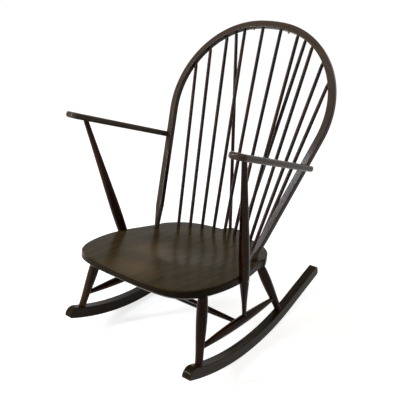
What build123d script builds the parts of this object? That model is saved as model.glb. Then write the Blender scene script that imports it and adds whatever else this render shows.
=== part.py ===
from build123d import *
import os
from math import acos, cos, pi, radians, sin, tan

os.makedirs("parts", exist_ok=True)

# Hoop back rocking chair, in millimetres. The chair is set out in its own seat frame and then leaned
# back by the angle at which it balances on its rockers.
# Seat frame: origin at the middle of the seat's top, X across, Y to the back, Z square to the seat.
# "left" is the left of a person sitting in it, which is +X.

FIT = 0.05  # play all round a tenon in its hole
PAST = 9  # a cut, or the root of a tenon, runs this far past the face it meets

# Rockers and stance
REST_LEAN = 8.25  # degrees that the seat leans back when the empty chair balances
ROCKER_RADIUS = 850
ROCKER_CENTRE = (-23.6, 552.4)  # Y and Z of the arc's centre in the seat frame
ROCKER_HEIGHT = 37.5
ROCKER_WIDTH = 30
ROCKER_SPREAD = 253.5  # middle of the seat to the middle of a rocker, below the arc's centre
ROCKER_TOE_OUT = 1.2  # degrees that each rocker turns outwards in front
ROCKER_FRONT = 16.2  # degrees of arc in front of the seat frame's vertical
ROCKER_BACK = 24.4  # degrees of arc behind it, where the straight tail begins
ROCKER_TAIL = 205
ROCKER_NOSE_ROUND = 27
ROCKER_TOE_ROUND = 8
ROCKER_TAIL_ROUND = 12
ROCKER_ARRIS = 1.5
ARC_STAND = -52.5  # Y of the arc's centre, which puts the middle of the chair's length at Y 0

# Seat plank
SEAT_THICK = 33
SEAT_FRONT = 291  # middle of the seat to its front edge
SEAT_BACK = 294
SEAT_SHOULDER = (231, -231)  # where the front turns into the side
SEAT_WIDEST = (265, -95)
SEAT_WAIST = (246, 66)
SEAT_FLANK = (231, 145)
SEAT_HAUNCH = (207, 209)
SEAT_TURN = (-0.5, 0.866)  # the way its edge runs there, as it turns into the back
SEAT_ARRIS = 5
SEAT_BEVEL = 8  # height of the bevel round its underside
SEAT_UNDERCUT = 10  # and how far in it runs
FRONT_ROLL = 4  # how far the top falls away at the front edge
DISH_RADIUS = 180  # the shallow round dish that the sitter's weight rests in
DISH_DEPTH = 7
DISH_MIDDLE = 20
DISH_LIFT = 0.5  # its curve runs this far past the top, so that it meets it cleanly
TAIL_END = 338  # the tongue at the back that carries the two braces
TAIL_ROOT = 116
TAIL_LAP = 30  # how far its outline runs in under the seat's
TAIL_TIP = 84
TAIL_TIP_ROUND = 18

# Bent hoop, measured along its middle line in its own plane
HOOP_WIDTH = 24.4  # across the face
HOOP_DEPTH = 21  # front to back
HOOP_ARRIS = 3.5
HOOP_CORNER = (HOOP_WIDTH**2 + HOOP_DEPTH**2) ** 0.5 / 2
HOOP_STAND = 102.8  # where its plane meets the top of the seat
HOOP_RAKE = 21.2
HOOP_LEG = 453  # straight run above the seat
HOOP_LEAN = 12.7  # degrees that a leg leans outwards
SHOULDER_RADIUS = 295
CROWN_RADIUS = 505
CROWN_HALF = 5.9  # half of the crown's arc, in degrees
HOOP_TENON_RADIUS = 9
HOOP_TENON = 22
HOOP_WHITTLE = 100  # height over which the square leg is brought down to the round tenon

# Ten spindles fanning from the seat to the hoop, and two braces behind them
SPINDLES = 10
SPINDLE_RING = 214  # radius of the arc of spindle feet
SPINDLE_RING_MIDDLE = 57
SPINDLE_STEP = 12  # degrees between two feet
SPINDLE_GAP = 75  # between two heads, measured round the hoop
SPINDLE_RADIUS = 6.5
SPINDLE_NECK = 6
SPINDLE_FOOT = 6.1
SPINDLE_HEAD = 5
SPINDLE_TENON = 20
NECK_LENGTH = 150
NECK_CLEAR = 2  # a neck stops this far short of the hoop
FOOT_CLEAR = 3  # the foot stays parallel this far above the seat
FOOT_SWELL = 60  # and reaches its full thickness here
BRACE_FOOT = (27.5, 312)
BRACE_GAPS = 1.5  # its head stands this many spindle gaps past the first

# Arms
ARM_THICK = 20
ARM_FRONT = (326, -231, 414)  # middle of the front end
ARM_FRONT_WIDTH = 58
ARM_SLOPE = 11.7  # degrees that an arm falls to the back
ARM_LENGTH = 472
ARM_INNER_BACK = 292
ARM_BACK_WIDTH = 32
ARM_FRONT_ROUND = 20
ARM_BACK_ROUND = 13
ARM_ROUND = 8
DOWEL_RADIUS = 4
DOWEL_IN_ARM = 17

# Turned posts from the arms to the side stretchers
POST_TOP = (316.4, -166.7, 391)
POST_SEAT_RADIUS = 17.3  # where it passes the seat's edge
POST_BODY = (  # distance from the arm and radius
    (0, 8.2),
    (60, 9.6),
    (140, 11.8),
    (230, 14.6),
    (330, POST_SEAT_RADIUS),
    (400, 17.4),
    (440, 16.0),
    (500, 11.6),
)
POST_TENON_RADIUS = 7
POST_TENON = 12
POST_FOOT_RADIUS = 7.5
POST_FOOT_DEPTH = 12
SCREW_HEIGHT = -15  # of the screw through a post into the seat's edge
SCREW_RADIUS = 2
SCREW_HEAD = 4.5
SCREW_HEAD_DEPTH = 3
SCREW_LENGTH = 50

# Turned legs
FRONT_LEG_TOP = (223, -163)  # on the underside of the seat
FRONT_LEG_FOOT = -198  # Y where it stands on the rocker
BACK_LEG_TOP = (203, 172)
BACK_LEG_FOOT = 259
LEG_TOP_RADIUS = 13.5
LEG_BELLY_RADIUS = 17.3
LEG_SHIN_RADIUS = 15
LEG_FOOT_RADIUS = 12.2
LEG_BELLY_AT = 0.32  # shares of its length
LEG_SHIN_AT = 0.62
LEG_ANKLE_AT = 0.9
LEG_TENON_RADIUS = 11
LEG_TENON = 22
LEG_FOOT_TENON_RADIUS = 9.5
LEG_FOOT_TENON = 18
SCRIBE = 0.15  # a leg's foot is cut flat, this far above the hollow of the rocker's top

# Stretchers
SIDE_FRONT_HEIGHT = -194
SIDE_BACK_HEIGHT = -164
SIDE_RADIUS = 15
STRETCHER_END_RADIUS = 7.5
TENON_PAST = 6  # how far a side stretcher's end runs past the leg's middle line
CROSS_PAST = 2
TENON_RUN = 26  # straight end of a stretcher
STRETCHER_SWELL_AT = 0.22  # at this share of its length
STRETCHER_SWELL = 0.8  # it has this share of its middle radius
CROSS_AT = 14  # Y where the cross stretcher meets the side ones
CROSS_RADIUS = 12.8
POST_AT = 50  # Y where a post stands on its side stretcher

# Two small pegs under the crown that hold a cushion's loops
PEG_GAPS = 0.5
PEG_RADIUS = 3.5
PEG_TENON_RADIUS = 2.5
PEG_OUT = 7
PEG_TENON = 7
PEG_BEVEL = 2

SIDES = {"left": 1, "right": -1}

lean = radians(REST_LEAN)
centre_y, centre_z = ROCKER_CENTRE
chair = Plane(
    origin=(
        0,
        ARC_STAND - centre_y * cos(lean) - centre_z * sin(lean),
        ROCKER_RADIUS + centre_y * sin(lean) - centre_z * cos(lean),
    ),
    x_dir=(1, 0, 0),
    z_dir=(0, sin(lean), cos(lean)),
)


def at(x, y, z):
    """A point of the seat frame."""
    return chair.from_local_coords(Vector(x, y, z))


def heading(x, y, z):
    """A direction of the seat frame."""
    return at(x, y, z) - at(0, 0, 0)


def between(start, end, share):
    """The point a share of the way from start to end."""
    return start + (end - start) * share


def save(piece, name):
    """Label a finished piece and write it out."""
    piece.part.label = name
    export_step(piece.part, f"parts/{name}.step")


def turning_plane(start, end):
    """The plane to draw a turned piece's half outline on: X is its radius and Y its length."""
    run = (end - start).normalized()
    across = Vector(0, 0, 1) if abs(run.X) > 0.7 else Vector(1, 0, 0)
    side = (across - run * across.dot(run)).normalized()
    return Plane(origin=start, x_dir=side, z_dir=side.cross(run))


def turned(start, end, outline, mode=Mode.ADD):
    """Turn a piece about the line from start to end, from (distance, radius) stations.

    The first and last two stations are the straight ends, and a smooth line joins them.
    """
    first, last = outline[:2], outline[-2:]
    with BuildSketch(turning_plane(start, end)) as half:
        with BuildLine():
            Polyline((0, first[0][0]), *[(radius, along) for along, radius in first])
            Spline(*[(radius, along) for along, radius in outline[1:-1]])
            Polyline(*[(radius, along) for along, radius in last], (0, last[1][0]), (0, first[0][0]))
        make_face()
    revolve(half.sketch, axis=Axis(start, end - start), mode=mode)


def bore(bottom, towards, radius, length):
    """Cut a round hole with its flat bottom centred on one point, open towards another."""
    with BuildSketch(Plane(origin=bottom, z_dir=towards - bottom)) as ring:
        Circle(radius)
    extrude(ring.sketch, amount=length, mode=Mode.SUBTRACT)


def peg(bottom, towards, radius, length):
    """Add a round tenon that starts at one point and runs towards another."""
    with BuildSketch(Plane(origin=bottom, z_dir=towards - bottom)) as ring:
        Circle(radius)
    extrude(ring.sketch, amount=length)


# The hoop's plane, with X across the chair and Y up the back, and its middle line.
rake = radians(HOOP_RAKE)
hoop_lean = radians(HOOP_LEAN)
hoop_plane = Plane(
    origin=at(0, HOOP_STAND, 0), x_dir=(1, 0, 0), z_dir=heading(0, -cos(rake), sin(rake))
)
hoop_foot_x = (
    (CROWN_RADIUS - SHOULDER_RADIUS) * sin(radians(CROWN_HALF))
    + SHOULDER_RADIUS * cos(hoop_lean)
    - HOOP_LEG * sin(hoop_lean)
)
leg_turn = 90 + HOOP_LEAN - CROWN_HALF
left_foot = Vector(hoop_foot_x, 0, 0)
left_up = Vector(sin(hoop_lean), cos(hoop_lean), 0)
with BuildLine(hoop_plane) as bend:
    left_run = Line(
        tuple(left_foot - left_up * HOOP_TENON),
        tuple(left_foot + left_up * HOOP_LEG),
    )
    left_shoulder = JernArc(left_run @ 1, left_run % 1, SHOULDER_RADIUS, leg_turn)
    crown = JernArc(left_shoulder @ 1, left_shoulder % 1, CROWN_RADIUS, 2 * CROWN_HALF)
    right_shoulder = JernArc(crown @ 1, crown % 1, SHOULDER_RADIUS, leg_turn)
    right_run = Line(right_shoulder @ 1, (right_shoulder @ 1) + (right_shoulder % 1) * (HOOP_LEG + HOOP_TENON))
hoop_line = bend.wire()


def hoop_ends(side):
    """Where a leg of the hoop enters the seat, and the way up it."""
    up = hoop_plane.from_local_coords(Vector(side * sin(hoop_lean), cos(hoop_lean), 0)) - hoop_plane.origin
    return hoop_plane.from_local_coords(Vector(side * hoop_foot_x, 0, 0)), up


def on_hoop(round_from_top, side):
    """A point of the hoop's middle line, measured round it from the top, and the way outwards there."""
    along = hoop_line.length / 2 - side * round_from_top
    run = hoop_line.tangent_at(along, position_mode=PositionMode.LENGTH)
    point = hoop_line.position_at(along, position_mode=PositionMode.LENGTH)
    return point, run.cross(hoop_plane.z_dir).normalized()


def sticks():
    """Foot on the seat and head in the hoop of each spindle, from left to right, and of the braces."""
    found = {}
    for number in range(SPINDLES):
        place = (SPINDLES - 1) / 2 - number
        swing = radians(SPINDLE_STEP * place)
        foot = at(SPINDLE_RING * sin(swing), SPINDLE_RING_MIDDLE + SPINDLE_RING * cos(swing), 0)
        side = 1 if place > 0 else -1
        found[f"spindle_{number + 1}"] = (foot, *on_hoop(abs(place) * SPINDLE_GAP, side))
    for name, side in SIDES.items():
        foot = at(side * BRACE_FOOT[0], BRACE_FOOT[1], 0)
        head, out = on_hoop((BRACE_GAPS + 0.5) * SPINDLE_GAP, side)
        found[f"brace_{name}"] = (foot, head, out)
    return found


STICKS = sticks()

# The arms' plane runs through the middle of their thickness.
slope = radians(ARM_SLOPE)
arm_run = heading(0, cos(slope), -sin(slope))
arm_normal = heading(0, sin(slope), cos(slope))


arm_plane = Plane(origin=at(0, *ARM_FRONT[1:]), x_dir=(1, 0, 0), z_dir=arm_normal)


def arm_dowel(side):
    """Start, in the middle of the hoop, and direction of the dowel that holds an arm's back end."""
    rise = ARM_FRONT[2] - (HOOP_STAND - ARM_FRONT[1]) * tan(slope)
    up_hoop = rise / (cos(rake) + sin(rake) * tan(slope))
    x = hoop_foot_x + up_hoop * tan(hoop_lean)
    start = hoop_plane.from_local_coords(Vector(side * x, up_hoop, 0))
    out = hoop_plane.from_local_coords(Vector(side * cos(hoop_lean), -sin(hoop_lean), 0))
    return start, out - hoop_plane.origin


def rocker_plane(side):
    """The middle plane of a rocker, with its origin at the arc's centre, X to the back and Y up."""
    toe = radians(side * ROCKER_TOE_OUT)
    back = Vector(-sin(toe) * cos(lean), cos(toe) * cos(lean), -sin(lean))
    middle = at(side * ROCKER_SPREAD, centre_y, centre_z)
    return Plane(origin=middle, x_dir=back, z_dir=(cos(toe), sin(toe), 0))


def leg_line(top, foot_y, side):
    """A leg's point on the seat's underside and its point on the rocker's top."""
    upper_radius = ROCKER_RADIUS - ROCKER_HEIGHT
    reach = foot_y - centre_y
    foot = rocker_plane(side).from_local_coords(Vector(reach, -((upper_radius**2 - reach**2) ** 0.5), 0))
    return at(side * top[0], top[1], -SEAT_THICK), foot


def front_leg(side):
    """Top and foot of a front leg."""
    return leg_line(FRONT_LEG_TOP, FRONT_LEG_FOOT, side)


def back_leg(side):
    """Top and foot of a back leg."""
    return leg_line(BACK_LEG_TOP, BACK_LEG_FOOT, side)


def seat_height(point):
    """Height of a point above the seat's top."""
    return chair.to_local_coords(point).Z


def on_leg(leg, height):
    """The point of a leg's middle line at a height of the seat frame."""
    top, foot = leg
    return between(top, foot, (height - seat_height(top)) / (seat_height(foot) - seat_height(top)))


def side_line(side):
    """Front and back ends of a side stretcher's middle line, on the middle lines of the legs."""
    return on_leg(front_leg(side), SIDE_FRONT_HEIGHT), on_leg(back_leg(side), SIDE_BACK_HEIGHT)


def on_side_stretcher(side, y):
    """The point of a side stretcher's middle line at a distance back."""
    front, back = side_line(side)
    front_y, back_y = chair.to_local_coords(front).Y, chair.to_local_coords(back).Y
    return between(front, back, (y - front_y) / (back_y - front_y))


def post_line(side):
    """Top, under the arm, and foot, on the side stretcher's middle line, of an arm post."""
    x, y, z = POST_TOP
    return at(side * x, y, z), on_side_stretcher(side, POST_AT)


def post_outline(play=0.0):
    """Stations of an arm post, thin under the arm and fullest where it meets the seat."""
    top, foot = post_line(1)
    length = (foot - top).length
    end = length + POST_FOOT_DEPTH - SIDE_RADIUS
    above = (-PAST, POST_BODY[0][1])
    stations = [above, *POST_BODY, (end - 1.5 * POST_FOOT_DEPTH, POST_FOOT_RADIUS), (end, POST_FOOT_RADIUS)]
    return [(along, radius + play) for along, radius in stations]


def screw_line(side):
    """The point of a post's outer face where the screw goes in, and the way it runs."""
    top, foot = post_line(side)
    heights = seat_height(top), seat_height(foot)
    middle = between(top, foot, (SCREW_HEIGHT - heights[0]) / (heights[1] - heights[0]))
    return middle + Vector(side * POST_SEAT_RADIUS, 0, 0), Vector(-side, 0, 0)


def seat_outline(plane, inset=0):
    """The plank's outline on a plane, drawn in by an inset."""
    points = []
    for x, y in (SEAT_SHOULDER, SEAT_WIDEST, SEAT_WAIST, SEAT_FLANK, SEAT_HAUNCH):
        reach = (x * x + y * y) ** 0.5
        points.append((x - inset * x / reach, y - inset * y / reach))
    with BuildSketch(plane) as outline:
        with BuildLine():
            edge = Spline((0, inset - SEAT_FRONT), *points, tangents=[(1, 0), SEAT_TURN])
            Spline(edge @ 1, (0, SEAT_BACK - inset), tangents=[SEAT_TURN, (-1, 0)])
            mirror(about=Plane.YZ)
        make_face()
    return outline.sketch


def tongue():
    """The tongue behind the seat, with its upper edges rounded and its lower ones bevelled."""
    with BuildPart() as back:
        with BuildSketch(Plane.XY.offset(-SEAT_THICK)):
            with BuildLine():
                Line((-TAIL_TIP / 2, TAIL_END), (TAIL_TIP / 2, TAIL_END))
                root_y = SEAT_BACK - SEAT_BEVEL
                left = TangentArc((TAIL_TIP / 2, TAIL_END), (TAIL_ROOT / 2, root_y), tangent=(0, -1))
                right = TangentArc((-TAIL_TIP / 2, TAIL_END), (-TAIL_ROOT / 2, root_y), tangent=(0, -1))
                inner_y = SEAT_BACK - TAIL_LAP
                Polyline(left @ 1, (TAIL_ROOT / 2, inner_y), (-TAIL_ROOT / 2, inner_y), right @ 1)
            make_face()
            fillet(vertices().sort_by(Axis.Y)[-2:], TAIL_TIP_ROUND)
        extrude(amount=SEAT_THICK)
        levels = back.faces().sort_by(Axis.Z)
        fillet(levels[-1].edges(), SEAT_ARRIS)
        chamfer(levels[0].edges(), SEAT_BEVEL)
    return back.part


def dish_outline():
    """Half of the dish's section: flat in the middle and rising softly to the seat's top."""
    stations = [(share * DISH_RADIUS, -DISH_DEPTH * (1 + cos(pi * share)) / 2) for share in (0, 0.25, 0.5, 0.75)]
    with BuildSketch(Plane.XZ.offset(-DISH_MIDDLE)) as half:
        with BuildLine():
            rise = Spline(*stations, (DISH_RADIUS + 2 * DISH_LIFT, DISH_LIFT), tangents=[(1, 0), (1, 0.04)])
            Polyline(rise @ 1, (DISH_RADIUS, SEAT_ARRIS), (0, SEAT_ARRIS), rise @ 0)
        make_face()
    return half.sketch


def plank():
    """The seat's plank on the XY plane, with its rolled front, its tongue and its dish."""
    bevel_top = Plane.XY.offset(SEAT_BEVEL - SEAT_THICK)
    back = tongue()
    with BuildPart() as board:
        loft([seat_outline(Plane.XY.offset(-SEAT_THICK), SEAT_UNDERCUT), seat_outline(bevel_top)], ruled=True)
        extrude(seat_outline(bevel_top), amount=SEAT_THICK - SEAT_BEVEL)
        with BuildSketch(Plane.YZ):
            with BuildLine():
                fall = TangentArc((0, 0), (-SEAT_FRONT, -FRONT_ROLL), tangent=(-1, 0))
                past = -SEAT_FRONT - SEAT_ARRIS
                Polyline(fall @ 1, (past, -FRONT_ROLL), (past, SEAT_ARRIS), (0, SEAT_ARRIS), fall @ 0)
            make_face()
        extrude(amount=SEAT_WIDEST[0] + SEAT_THICK, both=True, mode=Mode.SUBTRACT)
        top = [face for face in board.faces() if face.normal_at().Z > 0.9]
        rim = ShapeList(edge for face in top for edge in face.edges())
        fillet(rim.filter_by(lambda edge: edge.geom_type != GeomType.LINE or edge.length < SEAT_BACK), SEAT_ARRIS)
        add(back)
        revolve(dish_outline(), axis=Axis((0, DISH_MIDDLE, 0), (0, 0, 1)), mode=Mode.SUBTRACT)
    return board.part


def make_seat():
    """The plank in its place, with the sockets and the housings of the arm posts."""
    board = plank()
    with BuildPart() as seat:
        add(board.moved(chair.location))
        for foot, head, _ in STICKS.values():
            run = (head - foot).normalized()
            bore(foot - run * SPINDLE_TENON, head, SPINDLE_FOOT + FIT, 2 * SPINDLE_TENON)
        for side in SIDES.values():
            foot, up = hoop_ends(side)
            bore(foot - up * HOOP_TENON, foot, HOOP_TENON_RADIUS + FIT, 2 * HOOP_TENON)
            for top, foot in (front_leg(side), back_leg(side)):
                run = (foot - top).normalized()
                bore(top - run * LEG_TENON, foot, LEG_TENON_RADIUS + FIT, 2 * LEG_TENON)
            turned(*post_line(side), post_outline(FIT), mode=Mode.SUBTRACT)
            start, inwards = screw_line(side)
            bore(start + inwards * SCREW_LENGTH, start, SCREW_RADIUS + FIT, SCREW_LENGTH)
    save(seat, "seat")


def make_hoop():
    """The bent bow: a rounded square section with round whittled ends, bored for everything it carries."""
    with BuildPart() as hoop:
        with BuildSketch(Plane(origin=hoop_line @ 0, x_dir=hoop_plane.z_dir, z_dir=hoop_line % 0)):
            RectangleRounded(HOOP_DEPTH, HOOP_WIDTH, HOOP_ARRIS)
        sweep(path=hoop_line)
        for side in SIDES.values():
            foot, up = hoop_ends(side)
            with BuildSketch(turning_plane(foot, foot + up)) as waste:
                with BuildLine():
                    Polyline(
                        (HOOP_TENON_RADIUS, -2 * HOOP_TENON),
                        (HOOP_TENON_RADIUS, FOOT_CLEAR * 2),
                        (HOOP_CORNER, HOOP_WHITTLE),
                        (HOOP_WIDTH, HOOP_WHITTLE),
                        (HOOP_WIDTH, -2 * HOOP_TENON),
                        close=True,
                    )
                make_face()
            revolve(waste.sketch, axis=Axis(foot, up), mode=Mode.SUBTRACT)
            start, out = arm_dowel(side)
            bore(start, start + out, DOWEL_RADIUS + FIT, HOOP_WIDTH)
            bottom, inwards = peg_line(side)
            bore(bottom, bottom + inwards, PEG_TENON_RADIUS + FIT, HOOP_WIDTH)
        for foot, head, _ in STICKS.values():
            bore(head, foot, SPINDLE_HEAD + FIT, 3 * HOOP_WIDTH)
    save(hoop, "hoop")


def make_stick(name, foot, head, out):
    """A spindle or brace: parallel below, drawn in to a neck above, with a round tenon at each end."""
    run = (head - foot).normalized()
    entry = acos(run.dot(out))
    inside = HOOP_WIDTH / 2 / cos(entry) + SPINDLE_NECK * tan(entry) + NECK_CLEAR
    bottom = foot - run * SPINDLE_TENON
    length = (head - bottom).length
    with BuildPart() as stick:
        with BuildSketch(turning_plane(bottom, head)):
            with BuildLine():
                Polyline(
                    (0, 0),
                    (SPINDLE_FOOT, 0),
                    (SPINDLE_FOOT, SPINDLE_TENON + FOOT_CLEAR),
                    (SPINDLE_RADIUS, SPINDLE_TENON + FOOT_SWELL),
                    (SPINDLE_RADIUS, length - inside - NECK_LENGTH),
                    (SPINDLE_NECK, length - inside),
                    (SPINDLE_HEAD, length - inside),
                    (SPINDLE_HEAD, length),
                    (0, length),
                    close=True,
                )
            make_face()
        revolve(axis=Axis(bottom, run))
    save(stick, name)


def make_arm(name, side):
    """A flat arm, broad in front and slim at the back, notched over the hoop."""
    front_x = side * ARM_FRONT[0]
    half = ARM_FRONT_WIDTH / 2
    with BuildPart() as arm:
        with BuildSketch(arm_plane):
            with BuildLine():
                Polyline(
                    (front_x - half, 0),
                    (front_x + half, 0),
                    (side * ARM_INNER_BACK + (side + 1) / 2 * ARM_BACK_WIDTH, ARM_LENGTH),
                    (side * ARM_INNER_BACK + (side - 1) / 2 * ARM_BACK_WIDTH, ARM_LENGTH),
                    close=True,
                )
            make_face()
            fillet(vertices().sort_by(Axis.Y)[:2], ARM_FRONT_ROUND)
            fillet(vertices().sort_by(Axis.Y)[-2:], ARM_BACK_ROUND)
        extrude(amount=ARM_THICK / 2, both=True)
        fillet(arm.faces().filter_by(arm_plane).edges(), ARM_ROUND)
        start, out = arm_dowel(side)
        with BuildSketch(Plane(origin=start, x_dir=hoop_plane.z_dir, z_dir=out)):
            Rectangle(HOOP_DEPTH + 2 * FIT, 4 * ARM_THICK)
        extrude(amount=HOOP_WIDTH / 2, both=True, mode=Mode.SUBTRACT)
        bore(start + out * (HOOP_WIDTH / 2 + DOWEL_IN_ARM), start, DOWEL_RADIUS + FIT, ARM_BACK_WIDTH)
        top, foot = post_line(side)
        run = (foot - top).normalized()
        bore(top - run * POST_TENON, foot, POST_TENON_RADIUS + FIT, 2 * POST_TENON)
    save(arm, name)


def make_arm_post(name, side):
    """A turned post, scribed to the underside of the arm, with a tenon at each end."""
    top, foot = post_line(side)
    run = (foot - top).normalized()
    with BuildPart() as post:
        turned(top, foot, post_outline())
        split(bisect_by=arm_plane.offset(-ARM_THICK / 2), keep=Keep.BOTTOM)
        peg(top - run * POST_TENON, foot, POST_TENON_RADIUS, 2 * POST_TENON)
        start, inwards = screw_line(side)
        bore(start + inwards * SCREW_LENGTH, start, SCREW_RADIUS + FIT, SCREW_LENGTH + PAST)
        cut_screw_head(start, inwards, FIT)
    save(post, name)


def cut_screw_head(start, inwards, play):
    """Sink the countersink of a screw."""
    with BuildSketch(turning_plane(start, start + inwards)) as half:
        with BuildLine():
            Polyline(
                (0, -PAST),
                (SCREW_HEAD + play, -PAST),
                (SCREW_HEAD + play, 0),
                (SCREW_RADIUS + play, SCREW_HEAD_DEPTH),
                (0, SCREW_HEAD_DEPTH),
                close=True,
            )
        make_face()
    revolve(half.sketch, axis=Axis(start, inwards), mode=Mode.SUBTRACT)


def make_leg(name, side, ends, stretcher_height):
    """A turned leg, fullest a third of the way down, scribed to the seat and to the rocker."""
    top, foot = ends
    run = (foot - top).normalized()
    length = (foot - top).length
    outline = [
        (-2 * PAST, LEG_TOP_RADIUS),
        (0, LEG_TOP_RADIUS),
        (LEG_BELLY_AT * length, LEG_BELLY_RADIUS),
        (LEG_SHIN_AT * length, LEG_SHIN_RADIUS),
        (LEG_ANKLE_AT * length, LEG_FOOT_RADIUS),
        (length + PAST, LEG_FOOT_RADIUS),
    ]
    to_arc = rocker_plane(side).origin - foot
    with BuildPart() as leg:
        turned(top, foot, outline)
        split(bisect_by=chair.offset(-SEAT_THICK), keep=Keep.BOTTOM)
        split(bisect_by=Plane(origin=foot, z_dir=to_arc).offset(SCRIBE), keep=Keep.TOP)
        peg(top - run * LEG_TENON, foot, LEG_TENON_RADIUS, LEG_TENON + PAST)
        peg(foot + run * LEG_FOOT_TENON, top, LEG_FOOT_TENON_RADIUS, LEG_FOOT_TENON + PAST)
        middle = on_leg(ends, stretcher_height)
        other = side_line(side)[1] if stretcher_height == SIDE_FRONT_HEIGHT else side_line(side)[0]
        inwards = (other - middle).normalized()
        bore(middle - inwards * TENON_PAST, other, STRETCHER_END_RADIUS + FIT, 3 * LEG_BELLY_RADIUS)
    save(leg, name)


def turned_stretcher(front, back, past, radius):
    """Turn a stretcher that runs past both of its end points and is fullest in the middle."""
    run = (back - front).normalized()
    start, end = front - run * past, back + run * past
    length = (end - start).length
    outline = [
        (0, STRETCHER_END_RADIUS),
        (TENON_RUN, STRETCHER_END_RADIUS),
        (STRETCHER_SWELL_AT * length, STRETCHER_SWELL * radius),
        (0.5 * length, radius),
        ((1 - STRETCHER_SWELL_AT) * length, STRETCHER_SWELL * radius),
        (length - TENON_RUN, STRETCHER_END_RADIUS),
        (length, STRETCHER_END_RADIUS),
    ]
    turned(start, end, outline)


def make_side_stretcher(name, side):
    """A side stretcher between two legs, bored for the cross stretcher and the arm post."""
    with BuildPart() as stretcher:
        turned_stretcher(*side_line(side), TENON_PAST, SIDE_RADIUS)
        middle = on_side_stretcher(side, CROSS_AT)
        other = on_side_stretcher(-side, CROSS_AT)
        inwards = (other - middle).normalized()
        bore(middle - inwards * CROSS_PAST, other, STRETCHER_END_RADIUS + FIT, 3 * SIDE_RADIUS)
        top, foot = post_line(side)
        down = (foot - top).normalized()
        bore(foot + down * (POST_FOOT_DEPTH - SIDE_RADIUS), top, POST_FOOT_RADIUS + FIT, 3 * SIDE_RADIUS)
    save(stretcher, name)


def make_cross_stretcher():
    """The stretcher that ties the two side stretchers together."""
    left, right = on_side_stretcher(1, CROSS_AT), on_side_stretcher(-1, CROSS_AT)
    with BuildPart() as cross:
        turned_stretcher(left, right, CROSS_PAST, CROSS_RADIUS)
    save(cross, "cross_stretcher")


def make_rocker(name, side):
    """A rocker: an arc with a rounded nose in front and a straight tail behind, bored for two legs."""
    with BuildPart() as rocker:
        with BuildSketch(rocker_plane(side)):
            with BuildLine():
                sweep_angle = ROCKER_FRONT + ROCKER_BACK
                under = CenterArc((0, 0), ROCKER_RADIUS, -90 - ROCKER_FRONT, sweep_angle)
                upper = CenterArc((0, 0), ROCKER_RADIUS - ROCKER_HEIGHT, -90 - ROCKER_FRONT, sweep_angle)
                under_tail = Line(under @ 1, (under @ 1) + (under % 1) * ROCKER_TAIL)
                upper_tail = Line(upper @ 1, (upper @ 1) + (upper % 1) * ROCKER_TAIL)
                Line(under_tail @ 1, upper_tail @ 1)
                Line(under @ 0, upper @ 0)
            make_face()
            nose = vertices().sort_by(Axis.X)[:2].sort_by(Axis.Y)
            fillet(nose[1], ROCKER_NOSE_ROUND)
            toe = vertices().sort_by(Axis.X)[:2].sort_by(Axis.Y)
            fillet(toe[0], ROCKER_TOE_ROUND)
            fillet(vertices().sort_by(Axis.X)[-2:], ROCKER_TAIL_ROUND)
        extrude(amount=ROCKER_WIDTH / 2, both=True)
        fillet(rocker.faces().filter_by(rocker_plane(side)).edges(), ROCKER_ARRIS)
        for top, foot in (front_leg(side), back_leg(side)):
            run = (foot - top).normalized()
            bore(foot + run * LEG_FOOT_TENON, top, LEG_FOOT_TENON_RADIUS + FIT, 3 * LEG_FOOT_TENON)
    save(rocker, name)


def peg_line(side):
    """Inner end and direction of the cushion peg on one side of the crown."""
    point, out = on_hoop((PEG_GAPS + 0.5) * SPINDLE_GAP, side)
    return point - out * (HOOP_WIDTH / 2 - PEG_TENON), out * -1


def make_cushion_pegs():
    """Two small turned pegs under the crown, each with a button end."""
    with BuildPart() as pegs:
        for side in SIDES.values():
            bottom, inwards = peg_line(side)
            with BuildSketch(turning_plane(bottom, bottom + inwards)) as half:
                with BuildLine():
                    Polyline(
                        (0, 0),
                        (PEG_TENON_RADIUS, 0),
                        (PEG_TENON_RADIUS, PEG_TENON + 4 * FIT),
                        (PEG_RADIUS, PEG_TENON + 4 * FIT),
                        (PEG_RADIUS, PEG_TENON + PEG_OUT - PEG_BEVEL),
                        (PEG_RADIUS - PEG_BEVEL, PEG_TENON + PEG_OUT),
                        (0, PEG_TENON + PEG_OUT),
                        close=True,
                    )
                make_face()
            revolve(half.sketch, axis=Axis(bottom, inwards))
    save(pegs, "cushion_pegs")


def make_post_screws():
    """The countersunk screw through each arm post into the seat's edge."""
    with BuildPart() as screws:
        for side in SIDES.values():
            start, inwards = screw_line(side)
            with BuildSketch(turning_plane(start, start + inwards)) as half:
                with BuildLine():
                    Polyline(
                        (0, 0),
                        (SCREW_HEAD, 0),
                        (SCREW_RADIUS, SCREW_HEAD_DEPTH),
                        (SCREW_RADIUS, SCREW_LENGTH),
                        (0, SCREW_LENGTH),
                        close=True,
                    )
                make_face()
            revolve(half.sketch, axis=Axis(start, inwards))
    save(screws, "post_screws")


def make_arm_dowels():
    """The hidden dowel that holds the back end of each arm to the hoop."""
    with BuildPart() as dowels:
        for side in SIDES.values():
            start, out = arm_dowel(side)
            peg(start, start + out, DOWEL_RADIUS, HOOP_WIDTH / 2 + DOWEL_IN_ARM)
    save(dowels, "arm_dowels")


make_seat()
make_hoop()
for name, (foot, head, out) in STICKS.items():
    make_stick(name, foot, head, out)
for name, side in SIDES.items():
    make_arm(f"arm_{name}", side)
    make_arm_post(f"arm_post_{name}", side)
    make_leg(f"leg_front_{name}", side, front_leg(side), SIDE_FRONT_HEIGHT)
    make_leg(f"leg_back_{name}", side, back_leg(side), SIDE_BACK_HEIGHT)
    make_side_stretcher(f"side_stretcher_{name}", side)
    make_rocker(f"rocker_{name}", side)
make_cross_stretcher()
make_cushion_pegs()
make_post_screws()
make_arm_dowels()
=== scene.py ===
"""Finishes and studio for a hoop back rocking chair: stained and lacquered seat, bent hoop, turned
sticks, legs and rockers, two dulled screws, two worn pegs, a white floor, three soft lamps and the
camera."""

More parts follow.
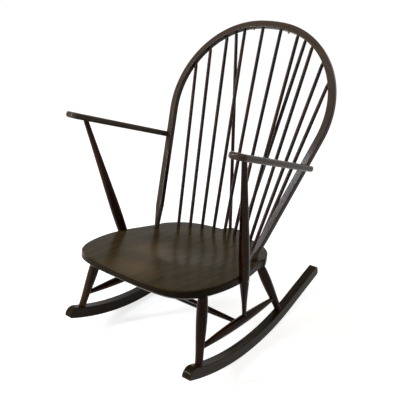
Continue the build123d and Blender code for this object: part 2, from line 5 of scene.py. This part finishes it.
import math

import bpy
from mathutils import Matrix, Vector


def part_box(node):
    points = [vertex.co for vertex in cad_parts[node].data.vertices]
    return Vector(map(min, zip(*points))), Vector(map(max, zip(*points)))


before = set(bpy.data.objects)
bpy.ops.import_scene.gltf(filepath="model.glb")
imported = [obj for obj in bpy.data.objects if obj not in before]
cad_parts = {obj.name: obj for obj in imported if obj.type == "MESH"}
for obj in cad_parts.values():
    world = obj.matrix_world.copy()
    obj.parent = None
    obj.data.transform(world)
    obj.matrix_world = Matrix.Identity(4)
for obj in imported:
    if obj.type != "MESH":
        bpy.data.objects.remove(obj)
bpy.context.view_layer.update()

bl_info = {
    "name": "Hoop Back Rocking Chair",
    "version": (1, 0, 0),
    "blender": (4, 5, 0),
    "location": "View3D > Sidebar > Rocking chair",
    "description": "Stain, lacquer, wear and studio light for a hoop back rocking chair",
    "category": "Object",
}


def linear(hex_colour):
    """An sRGB hex colour, such as 3a2418, as linear red, green and blue."""
    parts = [int(hex_colour[place : place + 2], 16) / 255 for place in (0, 2, 4)]
    return tuple(part / 12.92 if part <= 0.04045 else ((part + 0.055) / 1.055) ** 2.4 for part in parts)


MM = 0.001

# CAD nodes that share a finish.
STICKS = [f"spindle_{number}" for number in range(1, 11)] + ["brace_left", "brace_right"]
POSTS = ["arm_post_left", "arm_post_right"]
LEGS = ["leg_front_left", "leg_front_right", "leg_back_left", "leg_back_right"]
STRETCHERS = ["side_stretcher_left", "side_stretcher_right", "cross_stretcher"]
ARMS = ["arm_left", "arm_right"]
ROCKERS = ["rocker_left", "rocker_right"]
PLAIN_PINS = ["cushion_pegs", "arm_dowels"]

# How the bent pieces run, which their grain follows, in metres.
HOOP_RAKE = math.radians(29.5)
BOW_RADIUS = 0.3
ROCKER_CENTRE = Vector((0, -0.0525, 0.85))

# Grain. The figure is drawn out 20 times along the wood and the pores about 8 times, and a step in
# metres keeps like pieces from showing the same grain. Widths are in millimetres. Real pores are 0.2 to
# 0.3 mm wide, which is too fine to show, so they are drawn coarser.
GRAIN_LENGTHENED = 0.05
PORE_LENGTHENED = 0.12
GRAIN_STEP = 0.37
LINES_IN_FIGURE = 5
LINES_AMOUNT = 0.25
PORE_WIDTH = 0.9
PORE_COLOUR = linear("0d0906")

# Lacquer. It fills the pores, so their relief is far weaker than their colour, and it is duller in
# patches.
PATCH_WIDTH = 90
PORE_FILLING = 20
PORE_DEPTH = 0.1
PATCH_DULLNESS = 0.06

# Wear, painted shade and painted reflections. The first pair says how far a rounded surface still agrees
# with the real one where the rubbed band begins and at the edge itself. The second says the same of a
# face and the way its piece faces, where the painted shade on the sides begins and where it is full.
# Each spot of painted reflection is a centre and a reach in metres and an amount.
CLOSE_TO_EDGE = (0.998, 0.86)
PAINTED_SHADE_RANGE = (0.75, 0.2)
EDGE_SAMPLES = 8
CHIP_WIDTH = 5
# Colour of the painted shade on the sides.
PAINTED_SHADE_COLOUR = linear("150c07")
# Colour and spots of the painted reflections on the seat.
PAINTED_REFLECTION_COLOUR = linear("6b5638")
SEAT_PAINTED_REFLECTIONS = (((-0.06, -0.19, 0.31), 0.13, 0.6), ((0.0, -0.34, 0.335), 0.12, 0.65))

# The values of noise between which a trait goes from nothing to full.
FIGURE_RANGE = (0.36, 0.68)
LINES_RANGE = (0.5, 0.72)
PORE_RANGE = (0.55, 0.72)
PATCH_RANGE = (0.35, 0.65)
RUBBED_RANGE = (0.42, 0.62)
CHIP_RANGE = (0.8, 0.83)
TARNISH_RANGE = (0.45, 0.7)

# Dulled steel. Widths are in millimetres. Real scratches are finer than 0.1 mm, so they are drawn
# coarser.
SCRATCH_WIDTH = 0.8
SCRATCH_RELIEF = 0.2
SCRATCH_DEPTH = 0.05
TARNISH_SHADE = 0.4

# Floor and room. The floor's glow, which lights nothing, lifts it to white. It is less near the chair,
# where the lamps light the floor, and fades to its far value between two distances in metres.
WHITE = linear("ffffff")
FLOOR_COLOUR = linear("e6e6e4")
GLOW_NEAR = 0.76
GLOW_FAR = 0.88
GLOW_FADE = (0.9, 2.6)

# Each lamp's place, what it faces, its width and height, all in metres, and its colour.
WINDOW = ((-1.6, -2.4, 1.7), (0, 0, 0.5), (0.35, 1.8), "e4eeff")
PALE_WALL = ((-2.4, -0.4, 0.8), (0, 0, 0.5), (1.4, 1.6), "fff0dc")
CEILING = ((0.8, 0.6, 3.2), (0, 0, 0.4), (1.6, 1.6), "fff4e6")

# Camera. The sensor's width is in millimetres, and the shift is in parts of the frame's width.
SENSOR_WIDTH = 36
CAMERA_SHIFT = (-0.0113, 0.0026)


def add(tree, kind, settings=(), inputs=()):
    """Adds one shader node, gives it its settings, and sets or links its inputs by name or place."""
    made = tree.nodes.new("ShaderNode" + kind)
    for name, value in dict(settings).items():
        setattr(made, name, value)
    for name, value in dict(inputs).items():
        socket = made.inputs[name]
        if isinstance(value, bpy.types.NodeSocket):
            tree.links.new(value, socket)
        elif isinstance(value, tuple) and len(value) == 3 and socket.type == "RGBA":
            socket.default_value = (*value, 1)
        else:
            socket.default_value = value
    return made


def ramp(tree, factor, low, high, top=1.0):
    """Turns a value between low and high into 0 to top, smoothly."""
    settings = {"interpolation_type": "SMOOTHSTEP"}
    inputs = {"Value": factor, "From Min": low, "From Max": high, "To Max": top}
    return add(tree, "MapRange", settings, inputs).outputs[0]


def blend(tree, factor, first, second):
    """Mixes two colours by a factor."""
    return add(tree, "Mix", {"data_type": "RGBA"}, {0: factor, 6: first, 7: second}).outputs[2]


def product(tree, first, second):
    """Multiplies two values."""
    return add(tree, "Math", {"operation": "MULTIPLY"}, {0: first, 1: second}).outputs[0]


def larger(tree, first, second):
    """The larger of two values."""
    return add(tree, "Math", {"operation": "MAXIMUM"}, {0: first, 1: second}).outputs[0]


def agreement(tree, first, second):
    """How far two directions agree: 1 where they are the same and 0 at a right angle."""
    return add(tree, "VectorMath", {"operation": "DOT_PRODUCT"}, {0: first, 1: second}).outputs["Value"]


def noise(tree, where, width_mm, detail):
    """Noise whose features are about a width across."""
    inputs = {"Vector": where, "Scale": 1 / (width_mm * MM), "Detail": detail}
    return add(tree, "TexNoise", {}, inputs).outputs[0]


def new_material(name):
    """An empty node material and its tree."""
    material = bpy.data.materials.new(name)
    material.use_nodes = True
    material.node_tree.nodes.clear()
    return material, material.node_tree


def straight(along):
    """Where a point lies in a straight piece of wood: two ways across the grain and then along it."""
    along = Vector(along).normalized()
    side = along.orthogonal().normalized()
    other = along.cross(side)
    return lambda point: (point.dot(side), point.dot(other), point.dot(along))


def bent(centre, facing, radius):
    """Where a point lies in a bent piece of wood: out from the centre, through its depth and round it."""
    facing = Vector(facing).normalized()
    across = Vector((0, 0, 1)).cross(facing).normalized()
    up = facing.cross(across)

    def place(point):
        arm = point - centre
        out, level = arm.dot(across), arm.dot(up)
        return math.hypot(out, level), arm.dot(facing), radius * math.atan2(out, level)

    return place


def lay_grain(name, place, number):
    """Stores on a CAD node where each corner lies in its own piece of wood, in metres."""
    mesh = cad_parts[name].data
    grain = mesh.attributes.new("grain", "FLOAT_VECTOR", "POINT")
    values = []
    for corner in mesh.vertices:
        values.extend(place(corner.co))
    offset = GRAIN_STEP * number
    grain.data.foreach_set("vector", [value + offset for value in values])


def painted_reflections(tree, colour, painted_reflection_spots):
    """Paints reflections: lightens a colour softly round some spots."""
    place = add(tree, "TexCoord").outputs["Object"]
    for centre, reach, amount in painted_reflection_spots:
        gap = add(tree, "VectorMath", {"operation": "DISTANCE"}, {0: place, 1: centre}).outputs["Value"]
        colour = blend(tree, ramp(tree, gap, reach, 0.0, amount), colour, PAINTED_REFLECTION_COLOUR)
    return colour


def stained_wood(
    name, stain, glow, worn, figure_mm, pores, roughness, shine, wear_mm=0.0, wear=0.0, chips=0.0,
    facing=(0, 0, 1), painted_side_shade=0.0, painted_reflection_spots=()
):
    """Wood under brown stain and clear lacquer.

    stain is its main colour, glow the colour of its figure and worn that of bare wood. figure_mm is the
    width of its broad figure and pores the strength of its dark pores. shine is the lacquer's specular
    level. A real lacquer's is 0.5, at which white surroundings would turn such dark wood grey, so the
    levels given are far lower. wear_mm is the width of the band along each edge where the stain is
    rubbed thin, wear how far it is rubbed, and chips the amount of small knocks that show bare wood.
    The faces that don't lie in the facing direction are darkened by painted shade, by the amount given
    after facing, and the spots given last are where painted reflections lighten the colour.
    """
    stain, glow, worn = tuple(stain), tuple(glow), tuple(worn)
    material, tree = new_material(name)
    along = add(tree, "Attribute", {"attribute_name": "grain"}).outputs["Vector"]
    long_figure = add(tree, "Mapping", {}, {"Vector": along, "Scale": (1, 1, GRAIN_LENGTHENED)}).outputs[0]
    long_pores = add(tree, "Mapping", {}, {"Vector": along, "Scale": (1, 1, PORE_LENGTHENED)}).outputs[0]
    figure = noise(tree, long_figure, figure_mm, detail=3.0)
    lines = noise(tree, long_figure, figure_mm / LINES_IN_FIGURE, detail=2.0)
    flecks = noise(tree, long_pores, PORE_WIDTH, detail=1.0)
    place = add(tree, "TexCoord").outputs["Object"]
    patches = noise(tree, place, PATCH_WIDTH, detail=2.0)
    surface = add(tree, "NewGeometry").outputs["Normal"]

    bare = ramp(tree, noise(tree, place, CHIP_WIDTH, detail=0.0), *CHIP_RANGE, chips)
    if wear:
        rounded = add(tree, "Bevel", {"samples": EDGE_SAMPLES}, {"Radius": wear_mm * MM}).outputs[0]
        edge = ramp(tree, agreement(tree, rounded, surface), *CLOSE_TO_EDGE)
        bare = larger(tree, product(tree, edge, ramp(tree, patches, *RUBBED_RANGE, wear)), bare)

    colour = blend(tree, ramp(tree, figure, *FIGURE_RANGE), stain, glow)
    colour = blend(tree, ramp(tree, lines, *LINES_RANGE, LINES_AMOUNT), colour, glow)
    # Painted reflections: the colour is lighter round the given spots.
    colour = painted_reflections(tree, colour, painted_reflection_spots)
    colour = blend(tree, ramp(tree, flecks, *PORE_RANGE, pores), colour, PORE_COLOUR)
    # Painted shade: faces turned away from the piece's facing direction are mixed towards a dark colour.
    painted_shade_mask = ramp(tree, agreement(tree, surface, facing), *PAINTED_SHADE_RANGE, painted_side_shade)
    colour = blend(tree, painted_shade_mask, colour, PAINTED_SHADE_COLOUR)
    colour = blend(tree, bare, colour, worn)

    low, high = PATCH_RANGE
    dull = roughness + PATCH_DULLNESS
    uneven = {"Value": patches, "From Min": low, "From Max": high, "To Min": roughness, "To Max": dull}
    polish = add(tree, "MapRange", {}, uneven).outputs[0]
    relief = {"Height": flecks, "Strength": pores / PORE_FILLING, "Distance": PORE_DEPTH * MM}
    bump = add(tree, "Bump", {}, relief).outputs[0]
    inputs = {"Base Color": colour, "Roughness": polish, "Normal": bump, "Specular IOR Level": shine}
    shader = add(tree, "BsdfPrincipled", {}, inputs)
    add(tree, "OutputMaterial", {}, {"Surface": shader.outputs[0]})
    return material


def dulled_steel(name, colour, roughness):
    """A machined steel screw head gone dull: metal with fine random scratches."""
    colour = tuple(colour)
    material, tree = new_material(name)
    place = add(tree, "TexCoord").outputs["Object"]
    scratches = noise(tree, place, SCRATCH_WIDTH, detail=3.0)
    tarnish = tuple(TARNISH_SHADE * part for part in colour)
    shade = blend(tree, ramp(tree, scratches, *TARNISH_RANGE), colour, tarnish)
    relief = {"Height": scratches, "Strength": SCRATCH_RELIEF, "Distance": SCRATCH_DEPTH * MM}
    bump = add(tree, "Bump", {}, relief).outputs[0]
    inputs = {"Base Color": shade, "Metallic": 1.0, "Roughness": roughness, "Normal": bump}
    shader = add(tree, "BsdfPrincipled", {}, inputs)
    add(tree, "OutputMaterial", {}, {"Surface": shader.outputs[0]})
    return material


def put_on(material, names):
    """Gives CAD nodes a material in place of their own."""
    for name in names:
        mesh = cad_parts[name].data
        mesh.materials.clear()
        mesh.materials.append(material)


def run_of(name):
    """The direction in which a long CAD node runs."""
    low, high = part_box(name)
    longest = max(range(3), key=lambda axis: high[axis] - low[axis])
    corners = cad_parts[name].data.vertices
    first = min(corners, key=lambda corner: corner.co[longest]).co
    last = max(corners, key=lambda corner: corner.co[longest]).co
    return last - first


def middle(name):
    """The middle of a CAD node's box."""
    low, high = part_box(name)
    return (Vector(low) + Vector(high)) / 2


def colour_property(name, description, hex_colour):
    """A colour that a user may change."""
    return bpy.props.FloatVectorProperty(
        name=name, description=description, default=linear(hex_colour), subtype="COLOR", size=3, min=0, max=1
    )


class RockerFinishes(bpy.types.PropertyGroup):
    """Stains, wear and lacquer of the wood."""

    seat_stain: colour_property("Seat stain", "Olive brown walnut stain on the elm seat", "372d18")
    seat_glow: colour_property("Seat glow", "Lighter elm figure through the stain", "46391f")
    hoop_stain: colour_property("Hoop stain", "Stain on the bent hoop and the arms", "43362a")
    hoop_glow: colour_property("Hoop glow", "Lighter figure through the stain on hoop and arms", "524334")
    turned_stain: colour_property("Turned stain", "Dark stain on all the turned pieces", "0f0503")
    turned_glow: colour_property("Turned glow", "Red brown where turned wood has thin stain", "42250b")
    rocker_stain: colour_property("Rocker stain", "Stain on the rockers", "241a08")
    rocker_glow: colour_property("Rocker glow", "Lighter figure through the stain on the rockers", "362a12")
    worn_wood: colour_property("Worn wood", "Gold brown edges where the stain is rubbed through", "7d5d38")
    peg_wood: colour_property("Peg wood", "Tan of the two bare pegs", "a58a63")
    steel: colour_property("Steel", "Dulled screw heads", "8f8c84")
    satin: bpy.props.FloatProperty(
        name="Satin", description="Roughness of the satin lacquer on the seat, spindles and braces",
        default=0.2, min=0.05, max=1, subtype="FACTOR"
    )
    gloss: bpy.props.FloatProperty(
        name="Gloss", description="Roughness of the gloss lacquer on the rest of the stained wood",
        default=0.1, min=0.05, max=1, subtype="FACTOR"
    )
    wear_width: bpy.props.FloatProperty(
        name="Wear width", description="Width of the rubbed band along edges, in millimetres",
        default=1.6, min=0.1
    )


class RockerStage(bpy.types.PropertyGroup):
    """Floor, lamps and camera."""

    floor_size: bpy.props.FloatProperty(
        name="Floor size", description="Side of the floor", default=60, min=4, unit="LENGTH"
    )
    window_power: bpy.props.FloatProperty(
        name="Window power", description="Strength of the cool window light, in watts",
        default=80, min=0
    )
    wall_power: bpy.props.FloatProperty(
        name="Wall power", description="Strength of the light off a pale wall on the left, in watts",
        default=26, min=0
    )
    ceiling_power: bpy.props.FloatProperty(
        name="Ceiling power", description="Strength of the soft light from above, in watts",
        default=18, min=0
    )
    room_light: bpy.props.FloatProperty(
        name="Room light", description="Strength of the even light from all round",
        default=0.17, min=0
    )
    camera_place: bpy.props.FloatVectorProperty(
        name="Camera place", description="Where the camera stands",
        default=(1.2368, -1.5486, 1.2632), subtype="XYZ", unit="LENGTH"
    )
    camera_aim: bpy.props.FloatVectorProperty(
        name="Camera aim", description="What the camera looks at",
        default=(0.0175, -0.0123, 0.4495), subtype="XYZ", unit="LENGTH"
    )
    camera_roll: bpy.props.FloatProperty(
        name="Camera roll", description="Turn of the camera about its line of sight",
        default=math.radians(0.41), subtype="ANGLE"
    )
    lens: bpy.props.FloatProperty(
        name="Lens", description="Focal length on a 36 mm wide frame, in millimetres",
        default=56.95, min=10
    )


class HOOPCHAIR_OT_seat(bpy.types.Operator):
    """Finishes the elm seat: satin lacquer over walnut stain, grain from front to back"""

    bl_idname = "hoop_chair.seat"
    bl_label = "Finish seat"

    def execute(self, context):
        look = context.scene.rocker_finishes
        lay_grain("seat", straight((0, 1, 0)), 0)
        # Stained elm: broad streaks from front to back, short dark pores, a soft sheen, painted shade on the
        # sides and two paler places of painted reflection. The rubbed edges are set to full, partly as wear
        # and partly as a painted highlight along the front arris.
        wood = stained_wood(
            "walnut stained elm, satin lacquer", look.seat_stain, look.seat_glow, look.worn_wood,
            figure_mm=16, pores=0.25, roughness=look.satin, shine=0.03, wear_mm=look.wear_width, wear=1.0,
            painted_side_shade=0.8, painted_reflection_spots=SEAT_PAINTED_REFLECTIONS
        )
        put_on(wood, ["seat"])
        return {"FINISHED"}


class HOOPCHAIR_OT_hoop(bpy.types.Operator):
    """Finishes the steam-bent ash hoop, grain round the bend"""

    bl_idname = "hoop_chair.hoop"
    bl_label = "Finish hoop"

    def execute(self, context):
        look = context.scene.rocker_finishes
        facing = (0, -math.cos(HOOP_RAKE), math.sin(HOOP_RAKE))
        lay_grain("hoop", bent(middle("hoop"), facing, BOW_RADIUS), 1)
        # Stained ash: narrow streaks round the bend, short dark pores, sharp highlights and painted shade on
        # the sides.
        wood = stained_wood(
            "walnut stained ash, gloss lacquer", look.hoop_stain, look.hoop_glow, look.worn_wood,
            figure_mm=8, pores=0.25, roughness=look.gloss, shine=0.1, wear_mm=look.wear_width, wear=0.5,
            facing=facing, painted_side_shade=0.8
        )
        put_on(wood, ["hoop"])
        return {"FINISHED"}


class HOOPCHAIR_OT_sticks(bpy.types.Operator):
    """Finishes the turned spindles and braces"""

    bl_idname = "hoop_chair.sticks"
    bl_label = "Finish spindles and braces"

    def execute(self, context):
        look = context.scene.rocker_finishes
        for number, name in enumerate(STICKS):
            lay_grain(name, straight(run_of(name)), number)
        # Dark stained beech: no pores to see, nearly black, and red brown where the stain is thin.
        wood = stained_wood(
            "dark stained beech sticks, satin lacquer", look.turned_stain, look.turned_glow, look.worn_wood,
            figure_mm=9, pores=0.0, roughness=look.satin, shine=0.14
        )
        put_on(wood, STICKS)
        return {"FINISHED"}


class HOOPCHAIR_OT_legs(bpy.types.Operator):
    """Finishes the legs, arm posts and stretchers"""

    bl_idname = "hoop_chair.legs"
    bl_label = "Finish legs, posts and stretchers"

    def execute(self, context):
        look = context.scene.rocker_finishes
        names = POSTS + LEGS + STRETCHERS
        for number, name in enumerate(names):
            lay_grain(name, straight(run_of(name)), number)
        # Dark stained beech: nearly black with red brown streaks, a sharp shine and small knocks down
        # to bare wood.
        wood = stained_wood(
            "dark stained beech legs, gloss lacquer", look.turned_stain, look.turned_glow, look.worn_wood,
            figure_mm=12, pores=0.08, roughness=look.gloss, shine=0.07, wear_mm=look.wear_width, wear=0.5,
            chips=0.7
        )
        put_on(wood, names)
        return {"FINISHED"}


class HOOPCHAIR_OT_arms(bpy.types.Operator):
    """Finishes the flat arms"""

    bl_idname = "hoop_chair.arms"
    bl_label = "Finish arms"

    def execute(self, context):
        look = context.scene.rocker_finishes
        for number, name in enumerate(ARMS):
            lay_grain(name, straight(run_of(name)), number)
        # Walnut stained beech: a quiet figure, faint pores, a sharp shine and paler edges.
        wood = stained_wood(
            "walnut stained beech arms, gloss lacquer", look.hoop_stain, look.hoop_glow, look.worn_wood,
            figure_mm=10, pores=0.15, roughness=look.gloss, shine=0.1, wear_mm=look.wear_width, wear=0.5
        )
        put_on(wood, ARMS)
        return {"FINISHED"}


class HOOPCHAIR_OT_rockers(bpy.types.Operator):
    """Finishes the rockers, grain along the bend"""

    bl_idname = "hoop_chair.rockers"
    bl_label = "Finish rockers"

    def execute(self, context):
        look = context.scene.rocker_finishes
        for number, name in enumerate(ROCKERS):
            lay_grain(name, bent(ROCKER_CENTRE, (1, 0, 0), ROCKER_CENTRE.z), number)
        # Walnut stained beech: olive brown with a quiet figure along the curve, a sharp shine and paler
        # edges.
        wood = stained_wood(
            "walnut stained beech rockers, gloss lacquer", look.rocker_stain, look.rocker_glow,
            look.worn_wood, figure_mm=10, pores=0.15, roughness=look.gloss, shine=0.06,
            wear_mm=look.wear_width, wear=0.8
        )
        put_on(wood, ROCKERS)
        return {"FINISHED"}


class HOOPCHAIR_OT_fixings(bpy.types.Operator):
    """Finishes the screw heads, the pegs and the hidden dowels"""

    bl_idname = "hoop_chair.fixings"
    bl_label = "Finish screws, pegs and dowels"

    def execute(self, context):
        look = context.scene.rocker_finishes
        # Dulled steel: a soft grey shine, darker where it has tarnished.
        put_on(dulled_steel("dulled steel screws", look.steel, roughness=0.35), ["post_screws"])
        for number, name in enumerate(PLAIN_PINS):
            lay_grain(name, straight((0, 0, 1)), number)
        # Bare beech, rubbed smooth by hand: pale tan with a weak, wide shine.
        wood = stained_wood(
            "bare beech pegs, hand worn", look.peg_wood, look.worn_wood, look.peg_wood,
            figure_mm=3, pores=0.2, roughness=0.5, shine=0.3, wear_mm=0.5, wear=0.5
        )
        put_on(wood, PLAIN_PINS)
        return {"FINISHED"}


def seen(tree):
    """One for what is seen directly, in a mirror or through glass, and nought for light on things."""
    path = add(tree, "LightPath").outputs
    direct_or_mirrored = larger(tree, path["Is Camera Ray"], path["Is Glossy Ray"])
    return larger(tree, direct_or_mirrored, path["Is Transmission Ray"])


def soft_lamp(name, place, aim, size, colour, watts):
    """Adds a soft lamp that the camera doesn't see."""
    turn = (Vector(aim) - Vector(place)).to_track_quat("-Z", "Y").to_euler()
    bpy.ops.object.light_add(type="AREA", location=place, rotation=turn)
    lamp = bpy.context.object
    lamp.name = name
    lamp.data.shape = "RECTANGLE"
    lamp.data.size, lamp.data.size_y = size
    lamp.data.energy = watts
    lamp.data.color = linear(colour)
    lamp.visible_camera = False


def white_floor(size):
    """Adds a wide matt floor that reads as white and keeps the soft shadow near the chair."""
    bpy.ops.mesh.primitive_plane_add(size=size)
    floor = bpy.context.object
    floor.name = "floor"
    # Matt paint: an even white that mirrors nothing.
    paint, tree = new_material("matt white floor paint")
    place = add(tree, "TexCoord").outputs["Object"]
    gap = add(tree, "VectorMath", {"operation": "LENGTH"}, {0: place}).outputs["Value"]
    near, far = GLOW_FADE
    reach = {"Value": gap, "From Min": near, "From Max": far, "To Min": GLOW_NEAR, "To Max": GLOW_FAR}
    glowing = add(tree, "MapRange", {"interpolation_type": "SMOOTHSTEP"}, reach).outputs[0]
    matt = add(tree, "BsdfDiffuse", {}, {"Color": FLOOR_COLOUR}).outputs[0]
    glow = add(tree, "Emission", {}, {"Strength": product(tree, seen(tree), glowing)}).outputs[0]
    both = add(tree, "AddShader", {}, {0: matt, 1: glow}).outputs[0]
    add(tree, "OutputMaterial", {}, {"Surface": both})
    floor.data.materials.append(paint)


def white_room(strength):
    """White surroundings for the camera and in the lacquer, with an even light of a given strength."""
    world = bpy.data.worlds.new("white studio")
    world.use_nodes = True
    world.node_tree.nodes.clear()
    tree = world.node_tree
    even = add(tree, "Background", {}, {"Color": WHITE, "Strength": strength}).outputs[0]
    white = add(tree, "Background", {}, {"Color": WHITE, "Strength": 1.0}).outputs[0]
    shown = add(tree, "MixShader", {}, {0: seen(tree), 1: even, 2: white}).outputs[0]
    add(tree, "OutputWorld", {}, {"Surface": shown})
    bpy.context.scene.world = world


class HOOPCHAIR_OT_stage(bpy.types.Operator):
    """Adds the floor, the soft lamps, the white surroundings and the camera"""

    bl_idname = "hoop_chair.stage"
    bl_label = "Add stage"

    def execute(self, context):
        stage = context.scene.rocker_stage
        bpy.ops.object.select_all(action="DESELECT")
        white_floor(stage.floor_size)
        white_room(stage.room_light)
        soft_lamp("window", *WINDOW, stage.window_power)
        soft_lamp("pale wall", *PALE_WALL, stage.wall_power)
        soft_lamp("ceiling", *CEILING, stage.ceiling_power)

        turn = (Vector(stage.camera_aim) - Vector(stage.camera_place)).to_track_quat("-Z", "Y").to_matrix()
        turn = turn @ Matrix.Rotation(stage.camera_roll, 3, "Z")
        bpy.ops.object.camera_add(location=stage.camera_place, rotation=turn.to_euler())
        camera = context.object
        camera.name = "camera"
        camera.data.sensor_width = SENSOR_WIDTH
        camera.data.lens = stage.lens
        camera.data.shift_x, camera.data.shift_y = CAMERA_SHIFT
        context.scene.camera = camera
        context.scene.view_settings.view_transform = "Standard"
        return {"FINISHED"}


class HOOPCHAIR_PT_panel(bpy.types.Panel):
    """Lists the chair's finishes and the stage"""

    bl_idname = "HOOPCHAIR_PT_panel"
    bl_label = "Hoop back rocking chair"
    bl_space_type = "VIEW_3D"
    bl_region_type = "UI"
    bl_category = "Rocking chair"

    def draw(self, context):
        for settings in (context.scene.rocker_finishes, context.scene.rocker_stage):
            box = self.layout.box()
            for name in settings.__annotations__:
                box.prop(settings, name)
        for operator in OPERATORS:
            self.layout.operator(operator.bl_idname)


OPERATORS = (
    HOOPCHAIR_OT_seat,
    HOOPCHAIR_OT_hoop,
    HOOPCHAIR_OT_sticks,
    HOOPCHAIR_OT_legs,
    HOOPCHAIR_OT_arms,
    HOOPCHAIR_OT_rockers,
    HOOPCHAIR_OT_fixings,
    HOOPCHAIR_OT_stage,
)
CLASSES = (RockerFinishes, RockerStage, *OPERATORS, HOOPCHAIR_PT_panel)


def register():
    for made in CLASSES:
        bpy.utils.register_class(made)
    bpy.types.Scene.rocker_finishes = bpy.props.PointerProperty(type=RockerFinishes)
    bpy.types.Scene.rocker_stage = bpy.props.PointerProperty(type=RockerStage)


def unregister():
    del bpy.types.Scene.rocker_stage
    del bpy.types.Scene.rocker_finishes
    for made in reversed(CLASSES):
        bpy.utils.unregister_class(made)


def main():
    register()
    bpy.ops.hoop_chair.seat()
    bpy.ops.hoop_chair.hoop()
    bpy.ops.hoop_chair.sticks()
    bpy.ops.hoop_chair.legs()
    bpy.ops.hoop_chair.arms()
    bpy.ops.hoop_chair.rockers()
    bpy.ops.hoop_chair.fixings()
    bpy.ops.hoop_chair.stage()


if __name__ == "__main__":
    main()
